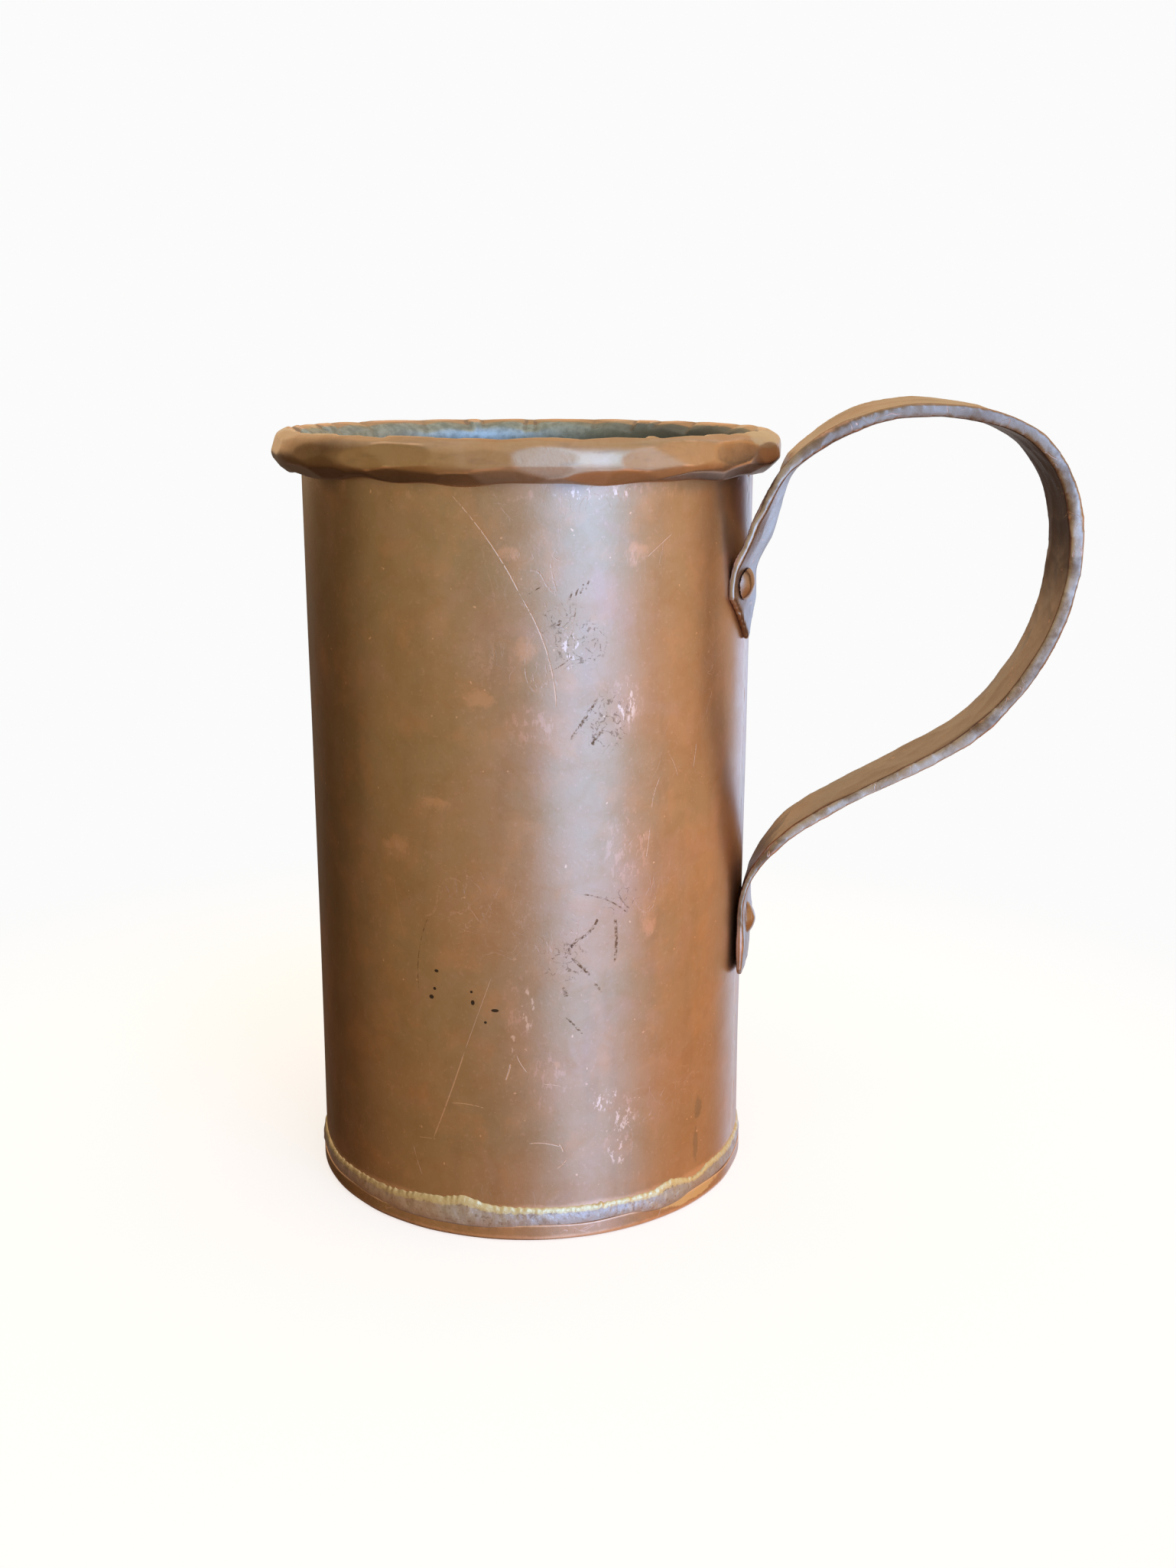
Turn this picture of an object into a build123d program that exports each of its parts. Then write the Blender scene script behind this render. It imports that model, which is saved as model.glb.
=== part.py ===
"""Copper mug: a rolled and brazed tube with a wired rim, a flanged base, a tinned inside and a strap handle.

Millimetres. +Z is up, the origin is the centre of the base where it rests on a table, and +X points from the
mug's axis towards the outermost part of the handle. Angles round the mug are measured from +X towards +Y.
"""

import os
from math import cos, radians, sin

from build123d import *

# Driving dimensions
BODY_R = 48.0  # outer radius of the tube
SHEET = 1.2  # thickness of the copper sheet
RIM_TOP = 165.7  # height of the rim's crest
RIM_HALF_WIDTH = 3.7  # half the radial width of the hammered rim
RIM_HALF_HEIGHT = 4.35  # half the height of the hammered rim
RIM_OPEN_FROM, RIM_OPEN_TO = 180, 235  # degrees of the rim's section left open, where the sheet's edge stops
BASE_R = 48.7  # outer radius of the base's upturned flange
BASE_FLANGE_TOP = 4.0
BASE_CORNER_R = 1.4
BRAZE_BOTTOM, BRAZE_TOP = 3.3, 8.0  # the band of brass spelter round the base
BRAZE_R = 49.0
TIN = 0.25  # thickness of the wiped tin inside
SEAM_ANGLE = -8.5  # the tube's side seam, covered by both ends of the handle
SEAM_WIDTH = 1.6
FIT_GAP = 0.02  # gap left between pieces that only touch

# Handle: one forged strap, riveted to the wall at both ends
STRAP_WIDTH = 20.0
UPPER_ANGLE, LOWER_ANGLE = -10.5, -3.0  # where the two ends sit round the mug
UPPER_THICK, LOWER_THICK = 1.4, 1.4  # the ends are forged thinner than the grip
UPPER_TIP_Z, UPPER_SHOULDER_Z, UPPER_FLAT_TO_Z = 122.2, 132.2, 136.0  # the pointed upper end
LOWER_END_Z, LOWER_FLAT_TO_Z = 47.5, 64.0  # the square lower end
LOWER_CORNER = 2.2  # clipped off each corner of the lower end

# The strap's centre line between its two riveted ends, as (reach from the axis, sideways, height)
STRAP_LOOP = [
    (50.0, -8.3, 141.5),  # leaves the wall under the rim
    (52.5, -7.5, 148.0),
    (55.5, -6.5, 157.0),  # passes just outside the rim
    (62.3, -4.9, 164.0),
    (73.5, -2.7, 169.3),
    (82.0, -1.2, 170.3),  # crown of the loop
    (93.5, 0.9, 169.1),
    (105.2, 3.0, 163.8),
    (112.0, 4.2, 153.5),
    (114.0, 4.7, 140.0),  # outermost point
    (111.6, 4.9, 126.0),
    (105.0, 4.8, 112.7),
    (94.9, 4.0, 101.6),
    (81.2, 2.5, 93.5),  # the curve turns the other way
    (67.3, 0.9, 86.2),
    (56.3, -0.6, 78.5),
    (51.0, -1.4, 71.5),
]

# Properties along the strap, as (share of its length, value)
STRAP_THICKNESS = [
    (0, UPPER_THICK),
    (0.1, UPPER_THICK),
    (0.16, 2.5),
    (0.4, 3.0),
    (0.62, 2.9),
    (0.85, 2.1),
    (0.93, LOWER_THICK),
]
STRAP_BOW = [(0, 0.95), (0.1, 0.95), (0.2, 0.15)]  # how far its middle stands out from its two edges
STRAP_TURN = [  # degrees that it faces away from +X, towards -Y
    (0, 10.5),
    (0.1, 11.5),
    (0.16, -1.5),
    (0.22, -5),
    (0.3, -9),
    (0.4, -6),
    (0.5, -5.5),
    (0.7, 0.5),
    (0.85, 1),
    (0.92, 3),
]
STRAP_LEAN = [(0, 0), (0.15, 0), (0.22, 3), (0.3, 3), (0.4, 0)]  # degrees that it leans at the crown
STRAP_STATIONS = 121
FLAT_END_STEPS = 3  # equal steps between the centre line's points on each flat end

# Rivets, each as (angle round the mug, height)
UPPER_RIVET = (-15.0, 134.8)
LOWER_RIVET = (-3.0, 58.5)
RIVET_SHANK_R = 2.2
RIVET_HEAD_R = 3.7
RIVET_HEAD_HEIGHT = 1.9
RIVET_BED = 0.5  # how far the head beds down into dips in the strap
RIVET_BACK_R = 4.2
RIVET_BACK_THICK = 0.9

# Worked out from the driving dimensions
BODY_INNER_R = BODY_R - SHEET
LINING_R = BODY_INNER_R - TIN
RIM_CENTRE_R = BODY_INNER_R + RIM_HALF_WIDTH
RIM_CENTRE_Z = RIM_TOP - RIM_HALF_HEIGHT
RIM_BOTTOM_Z = RIM_TOP - 2 * RIM_HALF_HEIGHT
FAR = 100.0  # longer than any cut needs
CUT_PAST = 1.0  # how far a cut runs past the metal it takes off


def at_angle(angle):
    """A location turned round the mug's axis, so that its +X points out along that angle."""
    return Rot(0, 0, angle)


def turned(section):
    """A section drawn in (radius, height), turned all the way round the mug's axis."""
    return revolve(Plane.XZ * section, Axis.Z)


def box_section(r_in, r_out, low, high):
    """A rectangle in (radius, height)."""
    return Pos((r_in + r_out) / 2, (low + high) / 2) * Rectangle(r_out - r_in, high - low)


def rivet_place(rivet):
    """A location on the mug's axis at a rivet's height, whose +Z points out along the rivet."""
    angle, height = rivet
    return at_angle(angle) * Pos(0, 0, height) * Rot(0, 90, 0)


def rivet_holes():
    """The round holes through the lining, the wall and the strap."""
    hole = Cylinder(RIVET_SHANK_R, FAR, align=(Align.CENTER, Align.CENTER, Align.MIN))
    return [rivet_place(rivet) * hole for rivet in (UPPER_RIVET, LOWER_RIVET)]


def seam_bar(r_in, r_out, low, high):
    """A straight bar along the side seam, from one radius to another."""
    bar = Box(r_out - r_in, SEAM_WIDTH, high - low, align=(Align.MIN, Align.CENTER, Align.MIN))
    return at_angle(SEAM_ANGLE) * Pos(r_in, 0, low) * bar


def make_body_shell():
    """The tube, with its top edge rolled outwards over the rim wire and tucked in against the wall."""
    hollow = Ellipse(RIM_HALF_WIDTH - SHEET, RIM_HALF_HEIGHT - SHEET)
    roll = Ellipse(RIM_HALF_WIDTH, RIM_HALF_HEIGHT) - hollow
    middle = (RIM_OPEN_FROM + RIM_OPEN_TO) / 2
    corners = [(0, 0)]
    for angle in (RIM_OPEN_FROM, middle, RIM_OPEN_TO):
        corners.append((FAR * cos(radians(angle)), FAR * sin(radians(angle))))
    opening = make_face(Polyline(*corners, close=True))
    wall = box_section(BODY_INNER_R, BODY_R, SHEET, RIM_CENTRE_Z)
    shell = turned(Pos(RIM_CENTRE_R, RIM_CENTRE_Z) * (roll - opening) + wall)
    seam = seam_bar(BODY_INNER_R - CUT_PAST, BODY_R + CUT_PAST, SHEET, RIM_BOTTOM_Z)
    return shell - seam - rivet_holes()


def make_rim_wire():
    """The wire inside the rolled rim, hammered to an oval with it."""
    half_width = RIM_HALF_WIDTH - SHEET - FIT_GAP
    half_height = RIM_HALF_HEIGHT - SHEET - FIT_GAP
    return turned(Pos(RIM_CENTRE_R, RIM_CENTRE_Z) * Ellipse(half_width, half_height))


def make_side_seam_braze():
    """The spelter that closes the tube's side seam, filed flush inside and out."""
    tube = turned(box_section(BODY_INNER_R, BODY_R, SHEET, RIM_BOTTOM_Z))
    return seam_bar(BODY_INNER_R - CUT_PAST, BODY_R + CUT_PAST, SHEET, RIM_BOTTOM_Z) & tube


def make_base_pan():
    """The base: a flat disc with its edge turned up round the outside of the tube."""
    corner = BASE_R - BASE_CORNER_R
    outline = [
        Line((0, 0), (corner, 0)),
        JernArc((corner, 0), (1, 0), BASE_CORNER_R, 90),
        Line((BASE_R, BASE_CORNER_R), (BASE_R, BASE_FLANGE_TOP)),
        Polyline((BASE_R, BASE_FLANGE_TOP), (BODY_R, BASE_FLANGE_TOP), (BODY_R, SHEET), (0, SHEET), (0, 0)),
    ]
    return turned(make_face(outline))


def make_base_braze():
    """The band of spelter run over the top of the base's flange, bulging a little in the middle."""
    top, bottom = (BODY_R, BRAZE_TOP), (BASE_R, BRAZE_BOTTOM)
    bulge = (BRAZE_R, (BRAZE_BOTTOM + BRAZE_TOP) / 2)
    outline = [
        ThreePointArc(top, bulge, bottom),
        Polyline(bottom, (BASE_R, BASE_FLANGE_TOP), (BODY_R, BASE_FLANGE_TOP), top),
    ]
    return turned(make_face(outline))


def make_tin_lining():
    """The wiped tin over the floor and up the wall to the start of the rim."""
    floor = box_section(0, BODY_INNER_R, SHEET, SHEET + TIN)
    wall = box_section(LINING_R, BODY_INNER_R, SHEET, RIM_CENTRE_Z)
    return turned(floor + wall) - rivet_holes()


def flat_end(angle, thickness, start_z, end_z):
    """Points on the strap's centre line where it lies against the wall, from one height to another."""
    reach = BODY_R + FIT_GAP + thickness / 2
    step = (end_z - start_z) / FLAT_END_STEPS
    heights = [start_z + step * i for i in range(FLAT_END_STEPS + 1)]
    return [(reach * cos(radians(angle)), reach * sin(radians(angle)), z) for z in heights]


def along(table, share):
    """The value at a share of the strap's length, in proportion between the rows of a table."""
    for (start, low), (end, high) in zip(table, table[1:]):
        if share <= end:
            return low + (high - low) * (share - start) / (end - start)
    return table[-1][1]


def strap_section(path, share):
    """The strap's slightly bowed section at a share of its length, facing the way its turn gives."""
    tangent = path.tangent_at(share)
    turn = radians(along(STRAP_TURN, share))
    across = Vector(-sin(turn), -cos(turn), -sin(radians(along(STRAP_LEAN, share))))
    across = (across - tangent * across.dot(tangent)).normalized()
    half_width = STRAP_WIDTH / 2
    half_thick = along(STRAP_THICKNESS, share) / 2
    bow = along(STRAP_BOW, share)
    low, high = -half_thick - bow, half_thick - bow
    outline = [
        ThreePointArc((-half_width, high), (0, half_thick), (half_width, high)),
        Line((half_width, high), (half_width, low)),
        ThreePointArc((half_width, low), (0, -half_thick), (-half_width, low)),
        Line((-half_width, low), (-half_width, high)),
    ]
    plane = Plane(origin=path.position_at(share), x_dir=across, z_dir=tangent)
    return plane * make_face(outline)


def end_corner_cuts(angle, tip_half_width, tip_z, shoulder_z):
    """The two corners cut off one of the strap's ends, each outside a line from the tip to the shoulder."""
    slope = (shoulder_z - tip_z) / (STRAP_WIDTH / 2 - tip_half_width)
    outer = STRAP_WIDTH / 2 + CUT_PAST
    outer_z = tip_z + slope * (outer - tip_half_width)
    low = tip_z - CUT_PAST
    cuts = []
    for side in (-1, 1):
        tip = side * tip_half_width
        corners = [(tip, low), (tip, tip_z), (side * outer, outer_z), (side * outer, low)]
        corner = make_face(Polyline(*corners, close=True))
        cuts.append(at_angle(angle) * extrude(Plane.YZ * corner, FAR))
    return cuts


def make_handle_strap():
    """The forged strap: a bar carried round the loop, with thin ends, pointed above and square below."""
    start = flat_end(UPPER_ANGLE, UPPER_THICK, UPPER_TIP_Z, UPPER_FLAT_TO_Z)
    end = flat_end(LOWER_ANGLE, LOWER_THICK, LOWER_FLAT_TO_Z, LOWER_END_Z)
    path = Spline(*start, *STRAP_LOOP, *end)
    shares = [i / (STRAP_STATIONS - 1) for i in range(STRAP_STATIONS)]
    strap = loft([strap_section(path, share) for share in shares])
    body = Cylinder(BODY_R + FIT_GAP, RIM_TOP, align=(Align.CENTER, Align.CENTER, Align.MIN))
    upper_cuts = end_corner_cuts(UPPER_ANGLE, 0, UPPER_TIP_Z, UPPER_SHOULDER_Z)
    lower_half_width = STRAP_WIDTH / 2 - LOWER_CORNER
    lower_cuts = end_corner_cuts(LOWER_ANGLE, lower_half_width, LOWER_END_Z, LOWER_END_Z + LOWER_CORNER)
    return strap - body - upper_cuts - lower_cuts - rivet_holes()


def make_rivet(rivet, strap, strap_thickness):
    """A rivet set from inside: a thin flat back, a shank, and a dome hammered onto the strap."""
    start = LINING_R - RIVET_BACK_THICK
    seat = BODY_R + strap_thickness
    upwards = (Align.CENTER, Align.CENTER, Align.MIN)
    dome_r = (RIVET_HEAD_R**2 + RIVET_HEAD_HEIGHT**2) / (2 * RIVET_HEAD_HEIGHT)
    ball = Pos(0, 0, seat + RIVET_HEAD_HEIGHT - dome_r) * Sphere(dome_r)
    head = ball & (Pos(0, 0, seat - RIVET_BED) * Cylinder(RIVET_BACK_R, FAR, align=upwards))
    shank = Pos(0, 0, start) * Cylinder(RIVET_SHANK_R, seat - start, align=upwards)
    back = Pos(0, 0, start) * Cylinder(RIVET_BACK_R, RIVET_BACK_THICK + CUT_PAST, align=upwards)
    inside = Cylinder(LINING_R, RIM_TOP, align=upwards)
    place = rivet_place(rivet)
    return (place * head - strap) + place * shank + (place * back & inside)


def main():
    os.makedirs("parts", exist_ok=True)
    strap = make_handle_strap()
    parts = {
        "body_shell": make_body_shell(),
        "rim_wire": make_rim_wire(),
        "side_seam_braze": make_side_seam_braze(),
        "base_pan": make_base_pan(),
        "base_braze": make_base_braze(),
        "tin_lining": make_tin_lining(),
        "handle_strap": strap,
        "upper_rivet": make_rivet(UPPER_RIVET, strap, UPPER_THICK),
        "lower_rivet": make_rivet(LOWER_RIVET, strap, LOWER_THICK),
    }
    for name, part in parts.items():
        export_step(part, f"parts/{name}.step")


main()
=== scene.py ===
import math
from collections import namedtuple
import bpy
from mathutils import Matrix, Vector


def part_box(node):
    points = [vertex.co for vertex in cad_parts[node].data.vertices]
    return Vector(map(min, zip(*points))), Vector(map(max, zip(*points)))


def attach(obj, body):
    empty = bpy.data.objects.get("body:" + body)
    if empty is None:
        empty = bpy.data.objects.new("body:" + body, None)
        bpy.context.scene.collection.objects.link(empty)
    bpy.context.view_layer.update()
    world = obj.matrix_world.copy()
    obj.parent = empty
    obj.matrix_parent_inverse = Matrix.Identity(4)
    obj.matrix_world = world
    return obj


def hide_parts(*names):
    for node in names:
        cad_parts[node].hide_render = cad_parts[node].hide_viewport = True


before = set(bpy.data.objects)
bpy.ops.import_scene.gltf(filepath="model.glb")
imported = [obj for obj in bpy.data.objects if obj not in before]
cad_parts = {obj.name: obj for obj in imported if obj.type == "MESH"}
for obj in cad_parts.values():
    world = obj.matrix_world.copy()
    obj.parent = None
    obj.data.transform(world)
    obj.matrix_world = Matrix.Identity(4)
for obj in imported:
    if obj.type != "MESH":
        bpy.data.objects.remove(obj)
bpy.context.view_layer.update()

# The copper mug's visual model. Shapes are worked out in millimetres, in the frame of the CAD model:
# +Z up, the tube's axis on Z, the handle on the +X side. Angles run round Z from +X. Every mesh is
# scaled to metres when it is made.

from types import SimpleNamespace

import bmesh
import bpy
import numpy as np
from mathutils import Matrix, Vector, kdtree

MM = 0.001
BODY = "root"


def corner(node, which):
    """A CAD node's lowest (0) or highest (1) corner, in millimetres."""
    return np.array(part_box(node)[which]) / MM


# ---------------------------------------------------------------- sizes, most read from the CAD model

SHEET = 1.2
TIN = 0.25
WALL_INNER = corner("tin_lining", 1)[0]
WALL_OUTER = WALL_INNER + SHEET
WALL_BOTTOM = corner("body_shell", 0)[2]
BEAD_OUTER = corner("body_shell", 1)[1]
BEAD_CENTRE = (BEAD_OUTER + WALL_INNER) / 2
BEAD_HALF_WIDTH = (BEAD_OUTER - WALL_INNER) / 2
BEAD_TOP = corner("body_shell", 1)[2]
BEAD_HEIGHT = (corner("rim_wire", 0)[2] + corner("rim_wire", 1)[2]) / 2
BEAD_HALF_HEIGHT = BEAD_TOP - BEAD_HEIGHT
UNDER_BEAD = 157.3
PAN_RADIUS = corner("base_pan", 1)[0]
PAN_TOP = corner("base_pan", 1)[2]
BRAZE_TOP = corner("base_braze", 1)[2]
SEAM_MIDDLE = (corner("side_seam_braze", 0) + corner("side_seam_braze", 1)) / 2
SEAM_ANGLE = math.atan2(SEAM_MIDDLE[1], SEAM_MIDDLE[0])
SEAM_HALF_WIDTH = 0.8


# ---------------------------------------------------------------- irregular functions of angle and height


class Ripples:
    """A smooth irregular function of angle and height, of about -1 to 1, the same on every run."""

    def __init__(self, seed, fewest, most, upright=0.0, count=9):
        draw = np.random.default_rng(seed)
        self.waves = draw.integers(fewest, most + 1, count)
        self.rise = draw.uniform(-upright, upright, count)
        self.phase = draw.uniform(0, 2 * math.pi, count)

    def __call__(self, angle, height=0.0):
        total = 0.0
        for waves, rise, phase in zip(self.waves, self.rise, self.phase):
            total = total + np.cos(waves * angle + rise * height + phase)
        return total / math.sqrt(2 * len(self.waves))


def bump(angle, centre_degrees, width_degrees):
    """A smooth hump, 1 at its centre, in a function of angle."""
    away = (angle - math.radians(centre_degrees) + math.pi) % (2 * math.pi) - math.pi
    return np.exp(-((away / math.radians(width_degrees)) ** 2))


def smooth_step(value, low, high):
    """0 at low and 1 at high, smooth between; low may be the larger, which turns it over."""
    share = np.clip((value - low) / (high - low), 0, 1)
    return share * share * (3 - 2 * share)


WALL_DENT = 0.16
WALL_DIMPLE = 0.05
BEAD_STIFFENS = 12  # how far below the bead its stiffness keeps the wall's inside true
WALL_SWELLS = Ripples(seed=11, fewest=2, most=7, upright=0.045)
WALL_DIMPLES = Ripples(seed=12, fewest=9, most=22, upright=0.16, count=14)


def wall_move(angle, height):
    """How far the tube's wall stands out from a true cylinder: it is slightly out of round and dimpled."""
    return WALL_DENT * WALL_SWELLS(angle, height) + WALL_DIMPLE * WALL_DIMPLES(angle, height)


def inner_wall_move(angle, height):
    """The same on the wall's inside, where it dies away towards the bead."""
    return wall_move(angle, height) * smooth_step(height, BEAD_HEIGHT, BEAD_HEIGHT - BEAD_STIFFENS)


# ---------------------------------------------------------------- mesh helpers

EDGE_BLURS = 3


def all_round(stations):
    """Evenly spaced angles round the mug, as a column."""
    return np.linspace(0, 2 * math.pi, stations, endpoint=False)[:, None]


def ring_points(angle, radius, height):
    """Points on a turned shape, from arrays of angle, radius and height."""
    angle, radius, height = np.broadcast_arrays(angle, radius, height)
    return np.stack([radius * np.cos(angle), radius * np.sin(angle), height], axis=-1)


def grid_faces(points, closed):
    """Quads over a grid whose columns wrap round. Its rows do too if closed; if not, its ends are capped."""
    rows, columns = points.shape[:2]
    row = np.arange(rows if closed else rows - 1)[:, None]
    column = np.arange(columns)[None, :]
    next_row = (row + 1) % rows
    next_column = (column + 1) % columns
    corners = [
        row * columns + column,
        next_row * columns + column,
        next_row * columns + next_column,
        row * columns + next_column,
    ]
    faces = np.stack(np.broadcast_arrays(*corners), axis=-1).reshape(-1, 4).tolist()
    if not closed:
        faces.append(list(range(columns)))
        faces.append(list(range((rows - 1) * columns, rows * columns)))
    return faces


def new_piece(name, points, material, stands_for, closed=True, merge=0.0):
    """Makes a piece from a grid of points and puts it on the mug's one body."""
    mesh = bpy.data.meshes.new(name)
    mesh.from_pydata((points.reshape(-1, 3) * MM).tolist(), [], grid_faces(points, closed))
    work = bmesh.new()
    work.from_mesh(mesh)
    if merge:
        bmesh.ops.remove_doubles(work, verts=work.verts, dist=merge * MM)
    bmesh.ops.recalc_face_normals(work, faces=work.faces)
    work.to_mesh(mesh)
    work.free()
    return finish_piece(name, mesh, material, stands_for)


def finish_piece(name, mesh, material, stands_for):
    """Shades, colours and places a finished mesh, and measures where its edges are."""
    mesh.polygons.foreach_set("use_smooth", np.ones(len(mesh.polygons), bool))
    measure_edges(mesh)
    mesh.materials.clear()
    mesh.materials.append(material)
    piece = placed(name, mesh)
    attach(piece, BODY)
    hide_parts(stands_for)
    return piece


def placed(name, data):
    """A new object in the scene."""
    thing = bpy.data.objects.new(name, data)
    bpy.context.scene.collection.objects.link(thing)
    return thing


def mesh_arrays(mesh):
    """A mesh's points, in millimetres, its normals and its edges."""
    count = len(mesh.vertices)
    points = np.empty(count * 3)
    normals = np.empty(count * 3)
    edges = np.empty(len(mesh.edges) * 2, int)
    mesh.vertices.foreach_get("co", points)
    mesh.vertices.foreach_get("normal", normals)
    mesh.edges.foreach_get("vertices", edges)
    return points.reshape(-1, 3) / MM, normals.reshape(-1, 3), edges.reshape(-1, 2)


def neighbour_mean(points, edges):
    """Each point's mean over the points it shares an edge with."""
    total = np.zeros_like(points)
    count = np.zeros(len(points))
    for here, there in ((0, 1), (1, 0)):
        np.add.at(total, edges[:, here], points[edges[:, there]])
        np.add.at(count, edges[:, here], 1)
    return total / np.maximum(count, 1)[:, None]


def store(mesh, name, values):
    """Keeps one number per point for the material to read."""
    attribute = mesh.attributes.new(name, "FLOAT", "POINT")
    attribute.data.foreach_set("value", np.ravel(values).astype(np.float32))


def measure_edges(mesh):
    """Stores how sharply each point stands out or lies in, in millimetres, as the attribute "edge"."""
    points, normals, edges = mesh_arrays(mesh)
    blurred = points
    for _ in range(EDGE_BLURS):
        blurred = neighbour_mean(blurred, edges)
    store(mesh, "edge", np.einsum("ij,ij->i", points - blurred, normals))


# ---------------------------------------------------------------- shader helpers


class Signal:
    """A number, colour or shader that flows between nodes. Arithmetic on it adds Math nodes."""

    def __init__(self, nodes, socket):
        self.nodes = nodes
        self.socket = socket

    def __add__(self, other):
        return self.nodes.math("ADD", self, other)

    def __sub__(self, other):
        return self.nodes.math("SUBTRACT", self, other)

    def __rsub__(self, other):
        return self.nodes.math("SUBTRACT", other, self)

    def __mul__(self, other):
        return self.nodes.math("MULTIPLY", self, other)

    def __truediv__(self, other):
        return self.nodes.math("DIVIDE", self, other)

    __radd__ = __add__
    __rmul__ = __mul__

    def size(self):
        return self.nodes.math("ABSOLUTE", self)

    def clamped(self):
        return self.nodes.math("ADD", self, 0.0, clamp=True)

    def step(self, low, high):
        """0 below low, 1 above high and smooth between; low may be the larger, which turns it over."""
        node = self.nodes.add("ShaderNodeMapRange", interpolation_type="SMOOTHSTEP")
        for name, value in (("Value", self), ("From Min", low), ("From Max", high)):
            self.nodes.put(node.inputs[name], value)
        return Signal(self.nodes, node.outputs["Result"])


class Nodes:
    """The node tree of a material or the world, built up so that a look reads as a formula."""

    def __init__(self, owner):
        owner.use_nodes = True
        self.tree = owner.node_tree
        self.tree.nodes.clear()

    def add(self, kind, **settings):
        node = self.tree.nodes.new(kind)
        for key, value in settings.items():
            setattr(node, key, value)
        return node

    def put(self, socket, value):
        """Joins a signal to a socket, or sets a plain number or colour on it."""
        if isinstance(value, Signal):
            self.tree.links.new(value.socket, socket)
        elif isinstance(value, tuple) and socket.type == "RGBA":
            socket.default_value = (*value, 1.0)
        else:
            socket.default_value = value

    def feed(self, kind, *values, **settings):
        """Adds a node, fills its first inputs in order and gives its first output."""
        node = self.add(kind, **settings)
        for socket, value in zip(node.inputs, values):
            self.put(socket, value)
        return Signal(self, node.outputs[0])

    def end(self, kind, surface):
        """Adds the tree's output node."""
        self.put(self.add(kind).inputs["Surface"], surface)

    def math(self, operation, *values, clamp=False):
        return self.feed("ShaderNodeMath", *values, operation=operation, use_clamp=clamp)

    def mix(self, share, first, second, blend="MIX"):
        """The first colour with a share of the second. A Mix node's colours are its sockets 6 and 7."""
        node = self.add("ShaderNodeMix", data_type="RGBA", blend_type=blend)
        self.put(node.inputs["Factor"], share)
        self.put(node.inputs[6], first)
        self.put(node.inputs[7], second)
        return Signal(self, node.outputs[2])

    def place(self, kind):
        """The place or direction being shaded, in the kind of coordinates named."""
        return Signal(self, self.add("ShaderNodeTexCoord").outputs[kind])

    def split(self, vector):
        node = self.add("ShaderNodeSeparateXYZ")
        self.put(node.inputs[0], vector)
        return [Signal(self, output) for output in node.outputs]


class Look(Nodes):
    """The material of a piece, worked out from its place on the mug in millimetres."""

    def __init__(self, name):
        self.material = bpy.data.materials.new(name)
        super().__init__(self.material)
        metres = self.place("Object")
        scaled = self.add("ShaderNodeVectorMath", operation="SCALE")
        self.put(scaled.inputs["Scale"], 1 / MM)
        self.put(scaled.inputs[0], metres)
        self.point = Signal(self, scaled.outputs[0])
        self.x, self.y, self.z = self.split(self.point)

    def noise(self, size, detail=3.0, rough=0.55, stretch=(1, 1, 1), warp=0.0, shift=0.0):
        """Noise of about 0 to 1, with features about size millimetres across, longer along a stretch.

        The shift moves it along a skewed line, so that no two noises match.
        """
        scale = [1 / (size * long) for long in stretch]
        moved = (shift, shift * 1.7, shift * 0.6)
        place = self.feed("ShaderNodeVectorMath", self.point, scale, moved, operation="MULTIPLY_ADD")
        texture = self.add("ShaderNodeTexNoise")
        settings = {"Vector": place, "Scale": 1.0, "Detail": detail, "Roughness": rough, "Distortion": warp}
        for name, value in settings.items():
            self.put(texture.inputs[name], value)
        return Signal(self, texture.outputs["Fac"])

    def attribute(self, name):
        """A number that store() kept with the mesh."""
        return Signal(self, self.add("ShaderNodeAttribute", attribute_name=name).outputs["Fac"])

    def radius(self):
        """Distance from the mug's axis."""
        return self.math("SQRT", self.x * self.x + self.y * self.y)

    def unrolled(self):
        """Distance round the tube from the +X side."""
        return self.math("ARCTAN2", self.y, self.x) * WALL_OUTER

    def hairlines(self, size, width, stretch=(1, 1, 1), shift=0.0):
        """Thin curved lines, where a noise crosses its middle value."""
        field = self.noise(size, detail=1.0, stretch=stretch, warp=0.6, shift=shift)
        return (field - 0.5).size().step(width, width * 0.3)

    def metal(self, colour, roughness, height, depth, metallic, coat, coat_rough=0.3):
        """Ends the tree in a metal with a bump. Height runs from 0 to 1 and depth is in millimetres."""
        relief = self.add("ShaderNodeBump")
        self.put(relief.inputs["Strength"], 1.0)
        self.put(relief.inputs["Distance"], depth * MM)
        self.put(relief.inputs["Height"], height)
        bumped = Signal(self, relief.outputs["Normal"])
        surface = self.add("ShaderNodeBsdfPrincipled")
        settings = {
            "Base Color": colour,
            "Metallic": metallic,
            "Roughness": roughness,
            "Coat Weight": coat,
            "Coat Roughness": coat_rough,
            "Coat IOR": PATINA_IOR,
            "Normal": bumped,
            "Coat Normal": bumped,
        }
        for name, value in settings.items():
            self.put(surface.inputs[name], value)
        self.end("ShaderNodeOutputMaterial", Signal(self, surface.outputs[0]))
        return self.material


# ---------------------------------------------------------------- marks on the tube's wall

STROKE_FADE = 12  # the larger it is, the blunter a stroke's ends


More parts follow.
